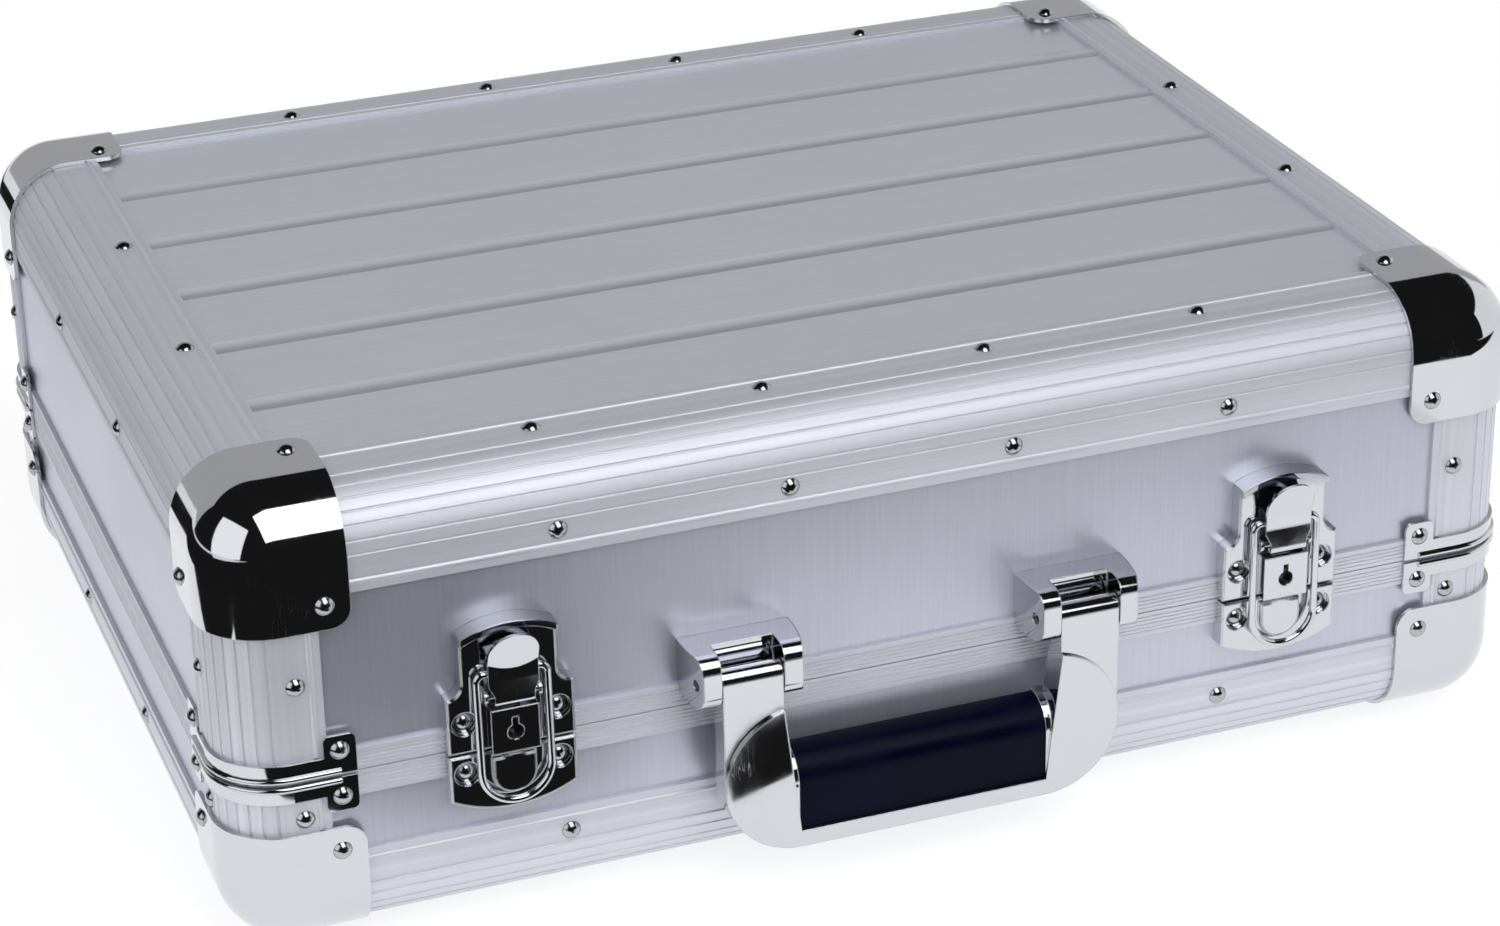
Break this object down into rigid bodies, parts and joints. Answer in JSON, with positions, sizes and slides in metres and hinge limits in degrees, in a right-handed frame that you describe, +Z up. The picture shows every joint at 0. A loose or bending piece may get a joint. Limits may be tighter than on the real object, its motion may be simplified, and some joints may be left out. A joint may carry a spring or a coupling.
{
  "type": "flight case",
  "caption": "Hard case for a disc player: laminated panels in rounded ribbed extrusions, chrome ball corners, hinged lid, lockable draw latches and a folding carrying handle",
  "frame": {"origin": "centre of the whole footprint, on the ground under the feet", "axes": "+X to the right seen from the latches and handle, +Y towards the hinges, +Z up"},
  "size_m": [0.477, 0.3872, 0.1745],
  "materials": {
    "panels": "silver grey laminate on plywood, satin",
    "extrusions": "clear anodised, fine drawn ribs, satin",
    "chrome_fittings": "bright plated",
    "rubber": "black, satin",
    "foam": "dark grey open cell foam, matte"
  },
  "bodies": {
    "base": {"base_floor_panel": "panels", "base_front_panel": "panels", "base_back_panel": "panels", "base_side_panels": "panels", "base_long_edges": "extrusions", "base_short_edges": "extrusions", "base_corner_posts": "extrusions", "base_rim": "extrusions", "base_ball_corner_front_left": "chrome_fittings", "base_ball_corner_front_right": "chrome_fittings", "base_ball_corner_back_left": "chrome_fittings", "base_ball_corner_back_right": "chrome_fittings", "base_corner_braces": "chrome_fittings", "base_foam_floor": "foam", "base_foam_walls": "foam", "rubber_feet": "rubber", "foot_screws": "chrome_fittings", "base_rivets": "chrome_fittings", "latch_left_catch": "chrome_fittings", "latch_right_catch": "chrome_fittings", "hinge_left_lower_leaf": "chrome_fittings", "hinge_right_lower_leaf": "chrome_fittings"},
    "lid": {"lid_top_panel": "panels", "lid_front_panel": "panels", "lid_back_panel": "panels", "lid_side_panels": "panels", "lid_long_edges": "extrusions", "lid_short_edges": "extrusions", "lid_corner_posts": "extrusions", "lid_rim": "extrusions", "lid_ball_corner_front_left": "chrome_fittings", "lid_ball_corner_front_right": "chrome_fittings", "lid_ball_corner_back_left": "chrome_fittings", "lid_ball_corner_back_right": "chrome_fittings", "lid_corner_braces": "chrome_fittings", "lid_foam_pad": "foam", "lid_foam_walls": "foam", "lid_rivets": "chrome_fittings", "latch_left_plate": "chrome_fittings", "latch_right_plate": "chrome_fittings", "latch_left_lock_housing": "chrome_fittings", "latch_right_lock_housing": "chrome_fittings", "latch_lever_pins": "chrome_fittings", "hinge_left_upper_leaf": "chrome_fittings", "hinge_right_upper_leaf": "chrome_fittings", "hinge_pins": "chrome_fittings", "handle_left_bracket": "chrome_fittings", "handle_right_bracket": "chrome_fittings", "handle_pins": "chrome_fittings"},
    "handle": {"handle_bar": "chrome_fittings", "handle_grip": "rubber"},
    "left_latch_lever": {"latch_left_lever": "chrome_fittings"},
    "right_latch_lever": {"latch_right_lever": "chrome_fittings"},
    "left_latch_bail": {"latch_left_bail": "chrome_fittings"},
    "right_latch_bail": {"latch_right_bail": "chrome_fittings"},
    "left_lock_cam": {"latch_left_lock_cam": "chrome_fittings"},
    "right_lock_cam": {"latch_right_lock_cam": "chrome_fittings"}
  },
  "joints": [
    {"name": "lid_hinge", "type": "hinge", "parent": "base", "child": "lid", "pos_m": [0, 0.19, 0.0722], "axis": [-1, 0, 0], "range_deg": [0, 100]},
    {"name": "handle_pivot", "type": "hinge", "parent": "lid", "child": "handle", "pos_m": [0, -0.1881, 0.0868], "axis": [-1, 0, 0], "range_deg": [0, 90]},
    {"name": "left_lever_pivot", "type": "hinge", "parent": "lid", "child": "left_latch_lever", "pos_m": [-0.14, -0.1804, 0.0935], "axis": [1, 0, 0], "range_deg": [0, 100]},
    {"name": "left_bail_pivot", "type": "hinge", "parent": "left_latch_lever", "child": "left_latch_bail", "pos_m": [-0.14, -0.1811, 0.1021], "axis": [1, 0, 0], "range_deg": [-100, 0]},
    {"name": "left_lock_turn", "type": "hinge", "parent": "lid", "child": "left_lock_cam", "pos_m": [-0.14, -0.1802, 0.0802], "axis": [0, -1, 0], "range_deg": [-90, 0]},
    {"name": "right_lever_pivot", "type": "hinge", "parent": "lid", "child": "right_latch_lever", "pos_m": [0.14, -0.1804, 0.0935], "axis": [1, 0, 0], "range_deg": [0, 100]},
    {"name": "right_bail_pivot", "type": "hinge", "parent": "right_latch_lever", "child": "right_latch_bail", "pos_m": [0.14, -0.1811, 0.1021], "axis": [1, 0, 0], "range_deg": [-100, 0]},
    {"name": "right_lock_turn", "type": "hinge", "parent": "lid", "child": "right_lock_cam", "pos_m": [0.14, -0.1802, 0.0802], "axis": [0, 1, 0], "range_deg": [-90, 0]}
  ],
  "couplings": [
    {"joint": "left_bail_pivot", "follows": "left_lever_pivot", "ratio": -1},
    {"joint": "right_bail_pivot", "follows": "right_lever_pivot", "ratio": -1}
  ]
}
